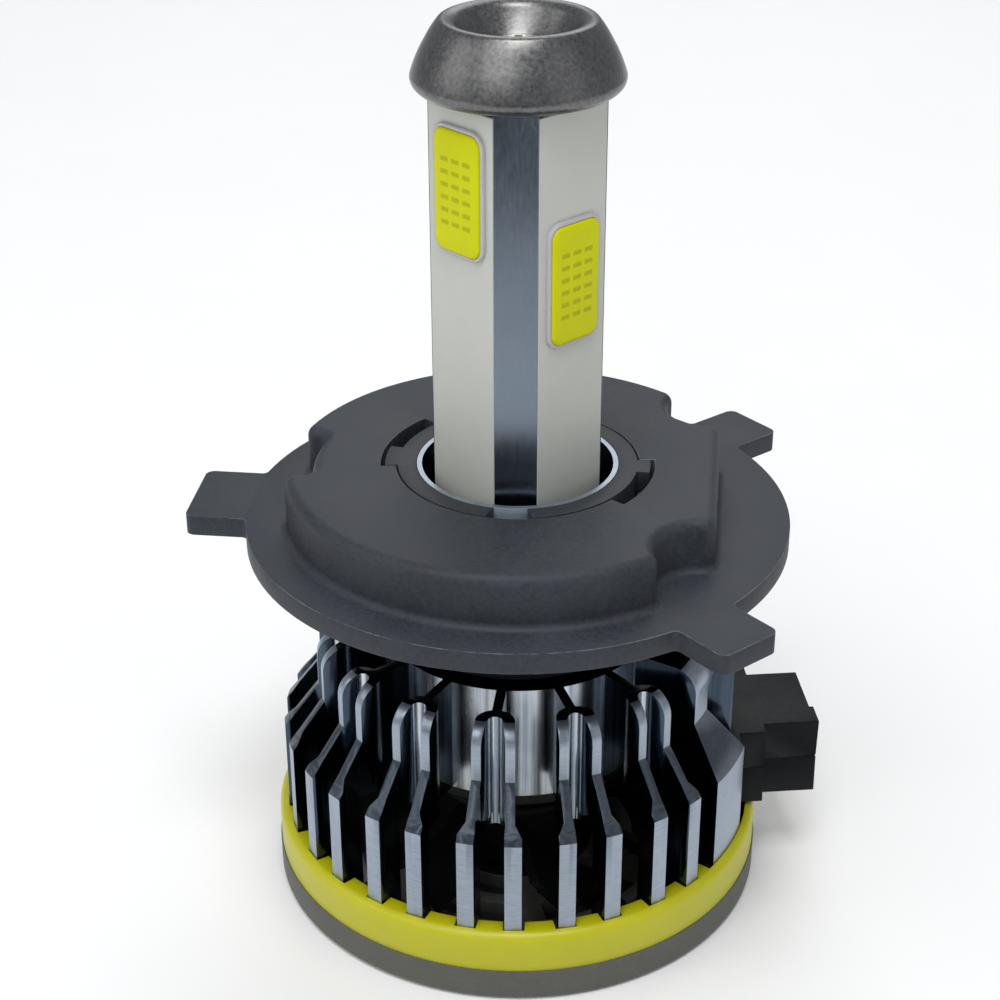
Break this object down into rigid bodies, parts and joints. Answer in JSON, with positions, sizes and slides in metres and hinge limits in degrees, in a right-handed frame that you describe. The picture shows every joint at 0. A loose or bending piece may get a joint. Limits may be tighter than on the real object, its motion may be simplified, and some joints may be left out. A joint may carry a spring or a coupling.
{
  "type": "led headlight bulb",
  "caption": "Four-sided LED headlight bulb with a three-lug twist-lock flange, forked-fin heat sink, fan and side plug socket.",
  "frame": {"origin": "on the bulb's axis in the seating face of the flange disc (the lamp's reference plane)", "axes": "+Z along the bulb's axis towards the end cap; -Y faces the viewer, the wide lug points to -X"},
  "size_m": [0.0514, 0.0432, 0.0723],
  "materials": {
    "sink_aluminium": "machined and polished",
    "post_aluminium": "polished",
    "board_white": "solder mask",
    "dam_silicone": "cured silicone",
    "phosphor_gel": "cured gel",
    "led_die": "flip chip",
    "cap_cast": "die-cast, metallic grey",
    "screw_nickel": "nickel plated",
    "collar_plastic": "moulded",
    "rubber_black": "moulded",
    "flange_coated": "satin charcoal",
    "ring_yellow": "moulded",
    "cover_plastic": "moulded",
    "fan_plastic": "moulded",
    "bearing_bronze": "sintered",
    "shaft_steel": "ground",
    "magnet_ferrite": "bonded ferrite",
    "stator_steel": "laminated",
    "copper_enamel": "enamelled wire",
    "circuit_board": "solder mask",
    "capacitor_can": "sleeved can",
    "chip_epoxy": "moulded epoxy",
    "lead_red": "silicone insulation",
    "socket_plastic": "moulded nylon",
    "pin_brass": "tinned"
  },
  "bodies": {
    "lamp_body": {"base_cover": "cover_plastic", "cap_screw": "screw_nickel", "cover_screws": "screw_nickel", "driver_board": "circuit_board", "driver_capacitors": "capacitor_can", "driver_chips": "chip_epoxy", "driver_inductor": "copper_enamel", "driver_screws": "screw_nickel", "end_cap": "cap_cast", "fan_bearing": "bearing_bronze", "fan_circuit_board": "circuit_board", "fan_coils": "copper_enamel", "fan_frame": "fan_plastic", "fan_stator_core": "stator_steel", "flange_o_ring": "rubber_black", "heatsink": "sink_aluminium", "led_board_back_left": "board_white", "led_board_back_right": "board_white", "led_board_front_left": "board_white", "led_board_front_right": "board_white", "led_dam_back_left": "dam_silicone", "led_dam_back_right": "dam_silicone", "led_dam_front_left": "dam_silicone", "led_dam_front_right": "dam_silicone", "led_dies_back_left": "led_die", "led_dies_back_right": "led_die", "led_dies_front_left": "led_die", "led_dies_front_right": "led_die", "led_leads": "lead_red", "led_post": "post_aluminium", "lock_collar": "collar_plastic", "phosphor_gel_back_left": "phosphor_gel", "phosphor_gel_back_right": "phosphor_gel", "phosphor_gel_front_left": "phosphor_gel", "phosphor_gel_front_right": "phosphor_gel", "plug_pins": "pin_brass", "plug_socket": "socket_plastic", "post_screw": "screw_nickel", "trim_ring": "ring_yellow"},
    "flange": {"mounting_flange": "flange_coated"},
    "fan": {"fan_rotor": "fan_plastic", "fan_magnet_ring": "magnet_ferrite", "fan_shaft": "shaft_steel"}
  },
  "joints": [
    {"name": "flange_twist", "type": "hinge", "parent": "lamp_body", "child": "flange", "pos_m": [0, 0, 0], "axis": [0, 0, 1], "range_deg": [0, 30]},
    {"name": "fan_spin", "type": "hinge", "parent": "lamp_body", "child": "fan", "pos_m": [0, 0, -0.0269], "axis": [0, 0, 1], "continuous": true}
  ]
}
